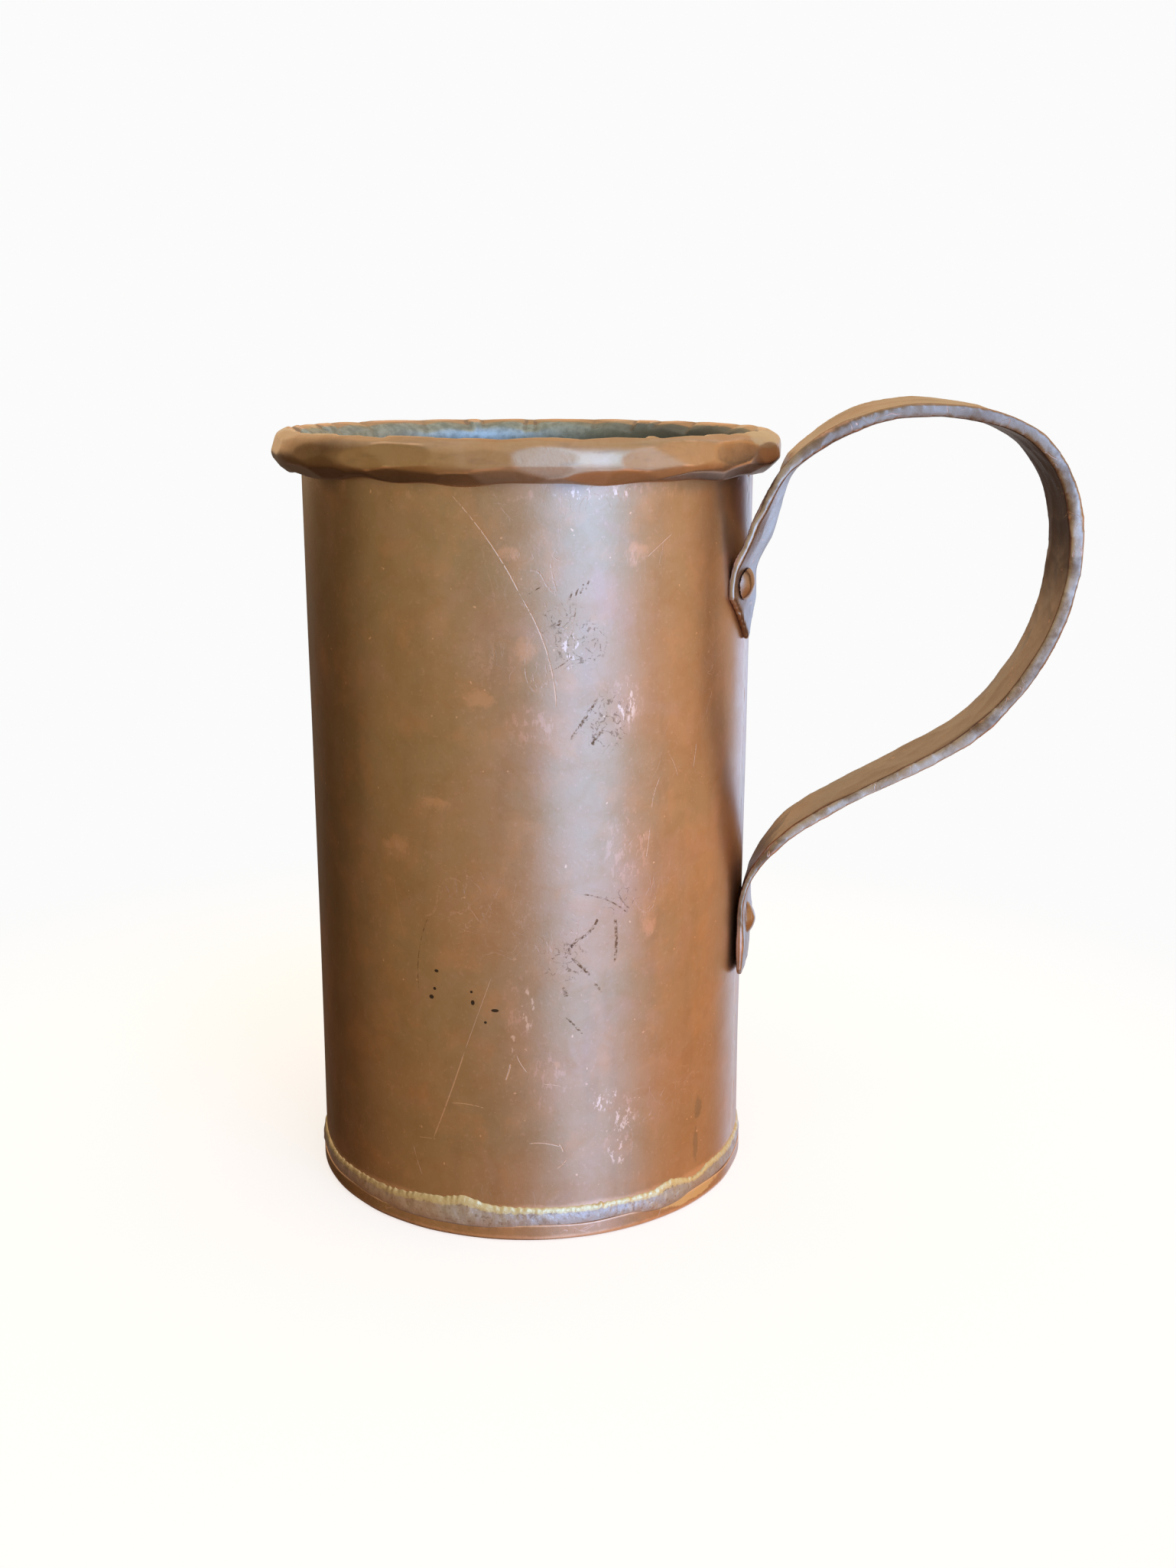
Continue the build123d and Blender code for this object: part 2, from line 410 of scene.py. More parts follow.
class Stroke(namedtuple("Stroke", "start end bend width")):
    """A line from start to end, each an angle in degrees and a height, bowed to its left by bend."""

    def mask(self, look, round_tube):
        """1 on the stroke's line and 0 beside it, fading to its two ends."""
        start = Vector((math.radians(self.start[0]) * WALL_OUTER, self.start[1]))
        end = Vector((math.radians(self.end[0]) * WALL_OUTER, self.end[1]))
        way = end - start
        along_u, along_v = way / way.length_squared
        across_u, across_v = -way.y / way.length, way.x / way.length
        along = look.math("MULTIPLY_ADD", round_tube, along_u, -(along_u * start.x + along_v * start.y))
        along = look.math("MULTIPLY_ADD", look.z, along_v, along)
        across = look.math("MULTIPLY_ADD", round_tube, across_u, -(across_u * start.x + across_v * start.y))
        across = look.math("MULTIPLY_ADD", look.z, across_v, across)
        # The hump is 0 at both ends and a quarter at the middle.
        hump = along * (1 - along)
        off_line = look.math("MULTIPLY_ADD", hump, -4 * self.bend, across).size()
        reach = (hump * STROKE_FADE).clamped() * self.width
        return ((reach - off_line) * (2 / self.width)).clamped()


class Spot(namedtuple("Spot", "angle height wide tall")):
    """A soft oval patch at an angle in degrees and a height."""

    def mask(self, look, round_tube):
        """1 at the middle of the spot and 0 outside it."""
        wide = (round_tube - math.radians(self.angle) * WALL_OUTER) / self.wide
        tall = (look.z - self.height) / self.tall
        return (1 - (wide * wide + tall * tall)).clamped()


def strongest(look, round_tube, marks):
    """The strongest of many marks at each place."""
    total = marks[0].mask(look, round_tube)
    for mark in marks[1:]:
        total = look.math("MAXIMUM", total, mark.mask(look, round_tube))
    return total


PALE_STROKES = [
    Stroke((-98.6, 155.4), (-82.1, 135.6), 1.1, 0.16),
    Stroke((-82.3, 135.9), (-74.3, 113.6), 1.6, 0.16),
    Stroke((-90.0, 59.0), (-97.0, 42.5), 0.0, 0.07),
    Stroke((-97.0, 42.5), (-106.3, 21.0), 0.2, 0.16),
    Stroke((-101.0, 30.3), (-92.2, 29.9), 0.4, 0.12),
    Stroke((-110.2, 21.2), (-105.1, 21.5), 0.1, 0.10),
    Stroke((-85.6, 40.2), (-86.9, 36.4), 0.1, 0.22),
    Stroke((-84.2, 42.1), (-81.6, 38.2), -0.2, 0.10),
    Stroke((-77.6, 35.6), (-73.3, 35.0), 0.1, 0.09),
    Stroke((-81.5, 22.3), (-73.6, 21.4), 0.5, 0.14),
    Stroke((-73.9, 22.0), (-72.9, 20.2), 0.1, 0.20),
    Stroke((-52.3, 142.5), (-44.7, 147.0), 0.1, 0.10),
    Stroke((-112.0, 19.0), (-109.5, 12.5), -0.1, 0.09),
    Stroke((-45.0, 103.0), (-42.0, 98.0), 0.2, 0.09),
    Stroke((-35.5, 104.0), (-36.5, 99.0), 0.1, 0.09),
    Stroke((-47.5, 98.5), (-50.0, 92.0), -0.4, 0.10),
    Stroke((-72.0, 18.5), (-74.5, 16.4), 0.2, 0.14),
    Stroke((-50.5, 88.0), (-51.5, 82.0), 0.1, 0.11),
]

DARK_STROKES = [
    Stroke((-71.2, 107.4), (-64.3, 115.9), 0.0, 0.42),
    Stroke((-65.9, 106.4), (-63.1, 109.3), 0.4, 0.70),
    Stroke((-81.0, 136.1), (-77.7, 137.8), 0.0, 0.16),
    Stroke((-78.2, 128.6), (-73.4, 130.6), 0.0, 0.13),
    Stroke((-76.1, 121.3), (-70.3, 124.4), -0.3, 0.13),
    Stroke((-64.1, 70.9), (-69.2, 66.5), 0.7, 0.40),
    Stroke((-69.0, 66.9), (-73.0, 61.6), -0.4, 0.45),
    Stroke((-60.0, 70.9), (-60.0, 60.4), 0.5, 0.42),
    Stroke((-68.4, 76.0), (-56.4, 70.9), 0.9, 0.20),
    Stroke((-72.5, 50.4), (-68.0, 46.0), 0.0, 0.28),
    Stroke((-65.1, 56.9), (-63.0, 54.6), 0.0, 0.34),
    Stroke((-72.9, 56.6), (-71.9, 54.4), 0.0, 0.60),
    Stroke((-71.0, 62.8), (-66.2, 58.6), 0.1, 0.40),
    Stroke((-105.8, 70.9), (-109.1, 53.6), -1.3, 0.12),
    Stroke((-71.3, 135.0), (-70.5, 136.8), 0.0, 0.22),
    Stroke((-69.9, 135.8), (-69.2, 137.4), 0.0, 0.22),
    Stroke((-68.7, 136.2), (-67.9, 138.2), 0.0, 0.26),
    Stroke((-67.4, 137.0), (-66.6, 138.9), 0.0, 0.22),
    Stroke((-74.0, 130.2), (-73.2, 131.3), 0.0, 0.40),
]

DARK_SPECKS = [
    Spot(-104.2, 59.0, 0.55, 0.40),
    Spot(-104.8, 55.1, 0.40, 0.40),
    Spot(-105.7, 53.2, 0.62, 0.55),
    Spot(-95.2, 55.3, 0.35, 0.35),
    Spot(-94.9, 53.0, 0.48, 0.65),
    Spot(-89.4, 51.6, 0.95, 0.42),
    Spot(-91.8, 48.9, 0.35, 0.35),
]

ORANGE_PATCHES = [
    Spot(-85.3, 144.0, 2.4, 2.2),
    Spot(-54.6, 144.0, 3.0, 2.4),
    Spot(-81.7, 125.5, 2.8, 3.4),
    Spot(-92.8, 115.6, 4.6, 3.0),
    Spot(-103.6, 94.4, 3.8, 2.2),
    Spot(-114.8, 84.8, 4.4, 2.8),
    Spot(-50.5, 68.5, 2.4, 4.4),
    Spot(-74.3, 39.7, 0.9, 1.1),
]

SOLDER_SPLASH = Spot(-15.0, 164.3, 9.5, 2.4)
# A painted gold highlight on the base's edge.
PAINTED_BASE_HIGHLIGHT = Spot(-36.0, 3.6, 13.0, 2.4)

STAINS = [
    Spot(-32.1, 22.4, 1.8, 3.4),
    Spot(-33.0, 14.0, 1.2, 5.0),
]

SCUFFED = [
    Spot(-69.0, 126.5, 6.5, 6.0),
    Spot(-72.5, 62.0, 5.5, 5.0),
    Spot(-62.0, 111.0, 6.0, 7.0),
    Spot(-72.5, 132.0, 5.0, 3.0),
    Spot(-58.5, 74.0, 5.0, 3.5),
]

HARD_RUBBED = [
    Spot(-62.0, 30.8, 3.6, 2.6),
    Spot(-57.5, 25.5, 3.2, 3.6),
    Spot(-58.6, 19.0, 2.6, 3.4),
    Spot(-81.5, 52.0, 1.6, 5.0),
    Spot(-84.5, 44.0, 1.4, 4.0),
    Spot(-65.5, 155.0, 8.5, 1.1),
    Spot(-57.1, 114.3, 2.4, 4.6),
    Spot(-70.5, 125.0, 2.6, 4.0),
]

RUBBED = [
    Spot(-62.0, 30.8, 4.5, 3.2),
    Spot(-57.0, 28.0, 4.5, 4.5),
    Spot(-58.6, 20.0, 4.0, 4.6),
    Spot(-57.1, 114.3, 4.5, 7.0),
    Spot(-56.2, 84.7, 6.5, 10.0),
    Spot(-80.0, 111.0, 6.0, 5.0),
    Spot(-55.4, 143.0, 2.8, 2.4),
    Spot(-84.6, 143.9, 2.0, 1.8),
    Spot(-60.5, 155.4, 6.0, 1.6),
    Spot(-66.0, 155.6, 8.0, 1.9),
    Spot(-50.6, 68.5, 2.6, 4.5),
    Spot(-114.9, 83.5, 4.6, 2.6),
    Spot(-76.5, 36.0, 5.0, 8.0),
    Spot(-84.0, 52.0, 3.5, 9.0),
]


# ---------------------------------------------------------------- materials

PATINA_IOR = 2.5
DARK_BROWN = (0.140, 0.062, 0.024)
OLIVE_BROWN = (0.385, 0.225, 0.088)
BROWN = (0.480, 0.222, 0.078)
ORANGE_COPPER = (0.640, 0.280, 0.095)
ROSE_BROWN = (0.520, 0.270, 0.190)
RIM_GOLD = (0.440, 0.235, 0.070)
LILAC_GREY = (0.262, 0.200, 0.165)
EDGE_DARK = (0.190, 0.120, 0.080)
EDGE_PALE = (0.520, 0.425, 0.345)
# The painted shade inside the handle's loop.
PAINTED_LOOP_SHADE = (0.165, 0.112, 0.100)
RUBBED_PINK = (0.940, 0.640, 0.500)
WARM_COPPER = (0.800, 0.390, 0.190)
PINK_COPPER = (0.740, 0.400, 0.280)
BRIGHT_COPPER = (0.900, 0.520, 0.320)
SOOT = (0.020, 0.012, 0.008)
PALE_BRASS = (0.820, 0.690, 0.380)
# The gold of the painted highlight on the base's edge.
PAINTED_HIGHLIGHT_GOLD = (0.950, 0.680, 0.330)
GREY_BRASS = (0.470, 0.420, 0.410)
BROWN_BRASS = (0.460, 0.340, 0.290)
GLINTING_BRASS = (0.660, 0.600, 0.550)
TIN_GREY = (0.280, 0.345, 0.350)
# The painted shade on the tin, towards the handle.
TIN_PAINTED_SHADE = (0.125, 0.155, 0.160)
TIN_PALE = (0.430, 0.520, 0.530)
TIN_BRIGHT = (0.640, 0.700, 0.710)
TIN_STAIN = (0.240, 0.120, 0.060)
SOLDER = (0.560, 0.560, 0.440)
IRON_BROWN = (0.110, 0.075, 0.055)
IRON_GREY = (0.250, 0.220, 0.200)


def aged_copper(look):
    """Brown patina over copper: cloudy, streaked and freckled. Returns colour, dullness and relief."""
    clouds = look.noise(34, detail=4, warp=0.4, shift=3) + look.x * 0.0022 - look.z * 0.0009 + 0.05
    blotches = look.noise(9, detail=5, rough=0.6, warp=0.3, shift=7)
    streaks = look.noise(5, detail=3, stretch=(1, 1, 9), shift=11)
    freckles = look.noise(0.8, detail=2, rough=0.7, shift=13)
    rosy = look.noise(15, detail=5, rough=0.62, warp=0.6, shift=5)
    colour = look.mix(clouds.step(0.30, 0.70), OLIVE_BROWN, BROWN)
    colour = look.mix(blotches.step(0.48, 0.72) * 0.50, colour, ORANGE_COPPER)
    colour = look.mix(rosy.step(0.50, 0.68) * 0.42, colour, ROSE_BROWN)
    colour = look.mix(streaks.step(0.50, 0.75) * 0.14, colour, DARK_BROWN)
    colour = look.mix(freckles.step(0.58, 0.72) * 0.30, colour, PINK_COPPER)
    colour = look.mix(freckles.step(0.36, 0.28) * 0.18, colour, DARK_BROWN)
    dullness = 0.37 + (clouds - 0.5) * 0.16 + (freckles - 0.5) * 0.16 + (blotches - 0.5) * 0.16
    relief = freckles * 0.5 + blotches * 0.5
    return colour, dullness, relief


def worn_and_highlit(look, colour, dullness, low, high, tone=BRIGHT_COPPER, strength=0.8):
    """Rubs the patina off where the surface stands out, which also paints a highlight along those arrises.
    """
    break_up = look.noise(1.6, detail=3, rough=0.65, shift=21)
    wear_and_highlight = (look.attribute("edge") + (break_up - 0.5) * (high - low)).step(low, high) * strength
    return look.mix(wear_and_highlight, colour, tone), dullness - wear_and_highlight * 0.10


def wall_marks(look, round_tube):
    """How strong each kind of mark is at each place, most of them only on the wall below the rim."""
    on_wall = look.z.step(UNDER_BEAD + 0.3, UNDER_BEAD - 0.9)
    break_up = look.noise(0.7, detail=3, rough=0.7, shift=31)
    pale = strongest(look, round_tube, PALE_STROKES) * on_wall
    pale = pale * break_up.step(0.34, 0.50)
    dark = strongest(look, round_tube, DARK_STROKES) * on_wall
    ragged = look.noise(1.1, detail=4, rough=0.75, shift=33)
    dark = dark * break_up.step(0.40, 0.54) * ragged.step(0.38, 0.56)
    stains = strongest(look, round_tube, STAINS) + (ragged - 0.5) * 1.8
    torn = look.noise(2.6, detail=5, rough=0.75, warp=0.5, shift=35)
    in_patch = strongest(look, round_tube, ORANGE_PATCHES)
    patches = (in_patch + (torn - 0.5) * 3.2).step(0.30, 1.0) * in_patch.step(0.0, 0.3)
    specks = strongest(look, round_tube, DARK_SPECKS).step(0.1, 0.5)
    scuffed = strongest(look, round_tube, SCUFFED).step(0.0, 0.6)
    scribble = look.hairlines(2.6, 0.035, shift=41) * break_up.step(0.45, 0.55) * scuffed
    rubbed = strongest(look, round_tube, RUBBED).step(0.0, 0.8)
    hatch = look.noise(1.1, detail=3, rough=0.65, stretch=(1, 1, 2.2), shift=43).step(0.53, 0.60)
    under_rim = look.z.step(UNDER_BEAD - 4.8, UNDER_BEAD - 1.3)
    under_rim = under_rim * look.noise(6, detail=3, shift=45).step(0.42, 0.60)
    core = strongest(look, round_tube, HARD_RUBBED).step(0.0, 0.5)
    rubbed = look.math("MAXIMUM", rubbed, under_rim * on_wall)
    rub = rubbed * (hatch * 0.80 + 0.20)
    bright_specks = look.noise(1.3, detail=1, shift=59).step(0.775, 0.800) * on_wall
    scratch_field = look.noise(22, detail=2, shift=47).step(0.50, 0.68)
    scratches = look.hairlines(12, 0.006, stretch=(1, 1, 2.5), shift=51) * scratch_field
    scratches = look.math("MAXIMUM", scratches, look.hairlines(5, 0.008, shift=57) * scratch_field)
    scratches = scratches * break_up.step(0.42, 0.56) * on_wall
    return SimpleNamespace(
        break_up=break_up,
        pale=pale,
        dark=dark,
        stains=stains,
        patches=patches,
        specks=specks,
        scribble=scribble,
        rub=rub,
        core=core,
        hatch=hatch,
        bright_specks=bright_specks,
        scratches=scratches,
    )


def marked_wall(look, colour, marks):
    """The wall's colour with its marks over it."""
    colour = look.mix(marks.patches * 0.45, colour, WARM_COPPER)
    colour = look.mix(marks.rub * 0.62, colour, PINK_COPPER)
    colour = look.mix(marks.core * marks.hatch * 0.75, colour, RUBBED_PINK)
    colour = look.mix(marks.stains.step(0.25, 0.70) * 0.50, colour, DARK_BROWN)
    colour = look.mix(marks.scratches * 0.45, colour, PINK_COPPER)
    colour = look.mix(marks.dark * 0.62, colour, SOOT)
    colour = look.mix(marks.scribble * 0.45, colour, SOOT)
    colour = look.mix(marks.specks * 0.92, colour, SOOT)
    colour = look.mix(marks.pale * 0.75, colour, BRIGHT_COPPER)
    return look.mix(marks.bright_specks * 0.8, colour, BRIGHT_COPPER)


def handled_and_shaded_rim(look, colour, on_rim):
    """The rolled rim: gold brown, darker in patches, and with painted shade over its lower side."""
    handled = look.noise(3.2, detail=4, rough=0.65, stretch=(3, 3, 0.5), shift=87)
    colour = look.mix(on_rim * 0.55, colour, RIM_GOLD)
    colour = look.mix(on_rim * handled.step(0.50, 0.70) * 0.34, colour, DARK_BROWN)
    # Painted shade: the bead's lower, downward-facing half is darkened.
    painted_underside_shade = look.z.step(BEAD_HEIGHT - 0.4, BEAD_HEIGHT - 3.6)
    return look.mix(on_rim * painted_underside_shade * 0.62, colour, DARK_BROWN)


def bright_lip(look, colour):
    """The rim's inner lip, bright copper along its top."""
    inner_side = look.radius().step(BEAD_CENTRE + 0.6, BEAD_CENTRE - 0.2)
    lip = inner_side * look.z.step(BEAD_TOP - 0.50, BEAD_TOP - 0.30)
    return look.mix(lip * 0.85, colour, BRIGHT_COPPER)


def tinned_slope(look, colour):
    """The tin that was wiped up over the rim's inner slope, with painted shade towards the handle. Also
    returns where.
    """
    wash = look.noise(2.2, detail=4, rough=0.65, shift=83)
    tinned = look.radius().step(WALL_INNER + 3.0, WALL_INNER + 2.4)
    tinned = tinned * look.z.step(BEAD_HEIGHT - 1, BEAD_HEIGHT)
    tinned = tinned * (look.z + (wash - 0.5) * 0.9).step(BEAD_TOP - 0.55, BEAD_TOP - 0.85)
    tone = look.mix(wash.step(0.36, 0.64), TIN_GREY, TIN_PALE)
    # Painted shade: the tin is darkened towards the handle side.
    tone = look.mix(look.x.step(-6, 24) * 0.85, tone, TIN_PAINTED_SHADE)
    return look.mix(tinned * 0.92, colour, tone), tinned


def body_material():
    """Patina over copper, with the wall's marks, the handled rim with painted shade on its lower side, and
    the tin on its inner slope with painted shade towards the handle.
    """
    look = Look("body_copper")
    round_tube = look.unrolled()
    colour, dullness, relief = aged_copper(look)
    marks = wall_marks(look, round_tube)
    colour = marked_wall(look, colour, marks)
    on_rim = look.radius().step(WALL_OUTER + 0.4, WALL_OUTER + 1.0)
    on_rim = on_rim * look.z.step(UNDER_BEAD - 0.8, UNDER_BEAD)
    colour = handled_and_shaded_rim(look, colour, on_rim)
    # Wear and painted highlight: bright copper lines along the rim facets' arrises.
    colour, dullness = worn_and_highlit(look, colour, dullness, 0.048, 0.080, strength=0.62)
    colour = bright_lip(look, colour)
    colour, tinned = tinned_slope(look, colour)
    creases = look.attribute("edge").step(-0.010, -0.060)
    colour = look.mix(creases * (0.8 - tinned * 0.6), colour, DARK_BROWN)
    splash = SOLDER_SPLASH.mask(look, round_tube) + (marks.break_up - 0.5) * 0.5
    colour = look.mix(splash.step(0.30, 0.50) * 0.60, colour, SOLDER)

    dullness = dullness + marks.dark * 0.2 + marks.specks * 0.3 - marks.rub * 0.08
    dullness = dullness - on_rim * 0.17 + tinned * 0.14
    relief = relief - marks.pale * 0.8 - marks.scratches * 0.5 - marks.dark * 0.3
    bare = look.math("MAXIMUM", marks.dark, look.math("MAXIMUM", marks.scribble * 0.6, marks.specks))
    haze = look.noise(6, detail=5, rough=0.62, warp=0.5, shift=89)
    coat = (0.92 + (haze - 0.5) * 1.1).clamped() * (1 - bare * 0.9) * (1 - tinned * 0.95)
    return look.metal(colour, dullness, relief, 0.035, metallic=0.95, coat=coat, coat_rough=0.31)


def fine_scratches(look):
    """Hairlines in patches, on the base and the strap."""
    return look.hairlines(4, 0.012, shift=67) * look.noise(10, shift=69).step(0.48, 0.60)


def base_material():
    """Aged copper with sooty patches, a worn edge that also carries a painted highlight, and a painted gold
    highlight along its edge at one place.
    """
    look = Look("base_copper")
    colour, dullness, relief = aged_copper(look)
    soot = look.noise(4, detail=4, rough=0.65, warp=0.5, shift=61)
    colour = look.mix(soot.step(0.54, 0.74) * 0.6, colour, DARK_BROWN)
    # Painted highlight: a gold band along the base's edge at one place, broken up by the soot noise.
    painted_highlight = PAINTED_BASE_HIGHLIGHT.mask(look, look.unrolled()) + (soot - 0.5) * 1.2
    colour = look.mix(painted_highlight.step(0.25, 0.55) * 0.8, colour, PAINTED_HIGHLIGHT_GOLD)
    scratches = fine_scratches(look)
    colour = look.mix(scratches * 0.5, colour, PINK_COPPER)
    # Wear and painted highlight along the base's edge.
    colour, dullness = worn_and_highlit(look, colour, dullness, 0.006, 0.050)
    creases = look.attribute("edge").step(-0.008, -0.050)
    colour = look.mix(creases * 0.7, colour, DARK_BROWN)
    relief = relief - scratches * 0.4
    return look.metal(colour, dullness, relief, 0.05, metallic=0.92, coat=0.75)


def forged_material(name, wear_and_highlight_low, wear_and_highlight_high):
    """The strap's and rivets' darker, smoother copper, greyed at the strap's edges by polish and painted
    reflection, with painted shade in its loop.
    """
    look = Look(name)
    colour, dullness, relief = aged_copper(look)
    patches = look.noise(13, detail=4, warp=0.5, shift=63)
    grain = look.noise(1.2, detail=3, rough=0.65, stretch=(3, 1, 3), shift=65)
    side = (look.attribute("side") + (grain - 0.5) * 0.5).step(0.35, 0.65)
    inward_painted_shade = look.attribute("inward_painted_shade")
    colour = look.mix(0.42, colour, DARK_BROWN)
    colour = look.mix(patches.step(0.46, 0.66) * 0.60, colour, LILAC_GREY)
    # Polish and painted reflection: the strap's edges are paler in patches, standing partly for the light
    # they reflect; towards the top they are kept darker as painted shade.
    polish_and_painted_sheen = look.noise(9, detail=5, rough=0.6, shift=64).step(0.36, 0.56)
    polish_and_painted_sheen = polish_and_painted_sheen * (1 - look.z.step(154, 167) * 0.75)
    edge_colour = look.mix(polish_and_painted_sheen, EDGE_DARK, EDGE_PALE)
    # Painted shade: the faces inside the loop are darkened and their coat lowered.
    colour = look.mix(inward_painted_shade * 0.76, colour, PAINTED_LOOP_SHADE)
    colour = look.mix(side * 0.90, colour, edge_colour)
    colour = look.mix(grain.step(0.58, 0.70) * 0.40, colour, DARK_BROWN)
    scratches = fine_scratches(look)
    colour = look.mix(scratches * 0.5, colour, PINK_COPPER)
    # Wear and painted highlight along the arrises.
    colour, dullness = worn_and_highlit(look, colour, dullness, wear_and_highlight_low, wear_and_highlight_high, tone=PINK_COPPER, strength=0.7)
    creases = look.attribute("edge").step(-0.006, -0.024)
    colour = look.mix(creases * 0.75, colour, DARK_BROWN)
    relief = relief * 0.6 + grain * 0.4 - scratches * 0.4
    coat = 0.55 - inward_painted_shade * 0.28 - side * 0.25
    return look.metal(colour, dullness - 0.08, relief, 0.06, metallic=0.95, coat=coat, coat_rough=0.22)


def seam_material():
    """The filed side seam: spelter browned over until it hardly shows."""
    look = Look("seam_spelter")
    colour, dullness, relief = aged_copper(look)
    colour = look.mix(0.18, colour, PALE_BRASS)
    return look.metal(colour, dullness, relief, 0.05, metallic=0.95, coat=0.9)


def spelter_material():
    """Brass spelter: grey and crusted, pale yellow and bright along its upper edge."""
    look = Look("base_spelter")
    crust = look.noise(0.9, detail=4, rough=0.7, shift=71)
    patches = look.noise(6, detail=3, shift=73)
    yellow = look.attribute("upper_edge") + (crust - 0.5) * 0.9
    colour = look.mix(patches.step(0.35, 0.65), GREY_BRASS, BROWN_BRASS)
    colour = look.mix(crust.step(0.46, 0.34) * 0.55, colour, DARK_BROWN)
    glints = look.noise(1.8, detail=4, rough=0.7, shift=75)
    colour = look.mix(glints.step(0.52, 0.64) * 0.55, colour, GLINTING_BRASS)
    colour = look.mix(yellow.step(0.40, 0.75) * 0.9, colour, PALE_BRASS)
    colour = look.mix(look.attribute("stained") * 0.75, colour, BROWN)
    dullness = 0.40 + (crust - 0.5) * 0.25
    return look.metal(colour, dullness, crust, 0.12, metallic=0.85, coat=0.4, coat_rough=0.32)


def tin_material():
    """Wiped tin, teal grey and blotched with age, and worn through to copper at its top edge."""
    look = Look("wiped_tin")
    clouds = look.noise(11, detail=4, warp=0.5, shift=81)
    wipes = look.noise(2.4, detail=4, rough=0.65, stretch=(1, 1, 2.0), shift=83)
    freckles = look.noise(0.7, detail=3, rough=0.7, shift=85)
    colour = look.mix(clouds.step(0.35, 0.65), TIN_GREY, TIN_PALE)
    colour = look.mix(wipes.step(0.54, 0.72) * 0.6, colour, TIN_BRIGHT)
    colour = look.mix(freckles.step(0.62, 0.72) * 0.4, colour, TIN_STAIN)
    worn_through = (look.z + (wipes - 0.5) * 6).step(BEAD_HEIGHT - 3.2, BEAD_HEIGHT - 1.2)
    colour = look.mix(worn_through * 0.8, colour, BROWN)
    dullness = 0.34 + (wipes - 0.5) * 0.3
    relief = wipes * 0.6 + freckles * 0.4
    return look.metal(colour, dullness, relief, 0.12, metallic=0.60, coat=0.1)


def iron_material():
    """The rim's hidden iron wire: dull, brown and pitted."""
    look = Look("iron_wire")
    scale = look.noise(1.4, detail=4, rough=0.65, shift=91)
    colour = look.mix(scale.step(0.4, 0.6), IRON_BROWN, IRON_GREY)
    dullness = 0.55 + (scale - 0.5) * 0.3
    return look.metal(colour, dullness, scale, 0.08, metallic=0.8, coat=0.0)


# ---------------------------------------------------------------- the tube and its hammered rim

BODY_STATIONS = 720
BEAD_FROM, BEAD_TO = 235.0, 540.0
BEAD_POINTS = 62
BEAD_SWELL = 0.14
BEAD_RISE = 0.12
BEAD_SAG = 0.34
CURL_POINTS = 13
CURL_FROM, CURL_TO = 180, -125
WALL_POINTS = 38
INNER_WALL_POINTS = 22
RIM_JOINT = 0.05  # half the hairline between the two ends of the rim

# A row of hammer blows. Its tilt is that of the blows' normals above level, give or take the scatter.
FacetRow = namedtuple("FacetRow", "tilt count depth_low depth_high scatter seed")
FACET_ROWS = [
    FacetRow(tilt=62, count=24, depth_low=0.10, depth_high=0.30, scatter=9, seed=101),
    FacetRow(tilt=-48, count=26, depth_low=0.34, depth_high=0.70, scatter=8, seed=102),
    FacetRow(tilt=8, count=24, depth_low=0.34, depth_high=0.66, scatter=10, seed=103),
    FacetRow(tilt=-20, count=14, depth_low=0.20, depth_high=0.42, scatter=10, seed=104),
    FacetRow(tilt=120, count=22, depth_low=0.06, depth_high=0.18, scatter=12, seed=105),
]
BLOW_WANDER = 0.32  # in spaces between blows
BLOW_LEAN = 0.035
BLOW_REACH = 14


def facet_list():
    """Every hammer blow on the rim: its angle round the mug, its tilt, its depth and its sideways lean."""
    blows = []
    for row in FACET_ROWS:
        draw = np.random.default_rng(row.seed)
        for number in range(row.count):
            angle = 2 * math.pi * (number + draw.uniform(-BLOW_WANDER, BLOW_WANDER)) / row.count
            tilt = math.radians(row.tilt + draw.uniform(-row.scatter, row.scatter))
            depth = draw.uniform(row.depth_low, row.depth_high)
            lean = draw.uniform(-BLOW_LEAN, BLOW_LEAN)
            blows.append((angle, tilt, depth, lean))
    return blows


def hammer_rim(points):
    """Cuts each hammer blow into the bead as a flat, wherever the bead stands above it."""
    for angle, tilt, depth, lean in facet_list():
        # The ellipse's own angle where its normal has this tilt.
        own = math.atan2(BEAD_HALF_HEIGHT * math.sin(tilt), BEAD_HALF_WIDTH * math.cos(tilt))
        radius = BEAD_CENTRE + BEAD_HALF_WIDTH * math.cos(own)
        height = BEAD_HEIGHT + BEAD_HALF_HEIGHT * math.sin(own)
        centre = ring_points(angle, radius, height)
        normal = ring_points(angle + lean, math.cos(tilt), math.sin(tilt))
        above = (points - centre) @ normal + depth
        near = np.linalg.norm(points - centre, axis=-1) < BLOW_REACH
        cut = np.where(near & (above > 0), above, 0)
        points = points - cut[..., None] * normal
    return points


def soften(points):
    """Blurs a grid of points slightly along both of its directions, leaving its outer columns."""
    points = (np.roll(points, 1, 0) + 2 * points + np.roll(points, -1, 0)) / 4
    inside = (points[:, :-2] + 2 * points[:, 1:-1] + points[:, 2:]) / 4
    return np.concatenate([points[:, :1], inside, points[:, -1:]], axis=1)


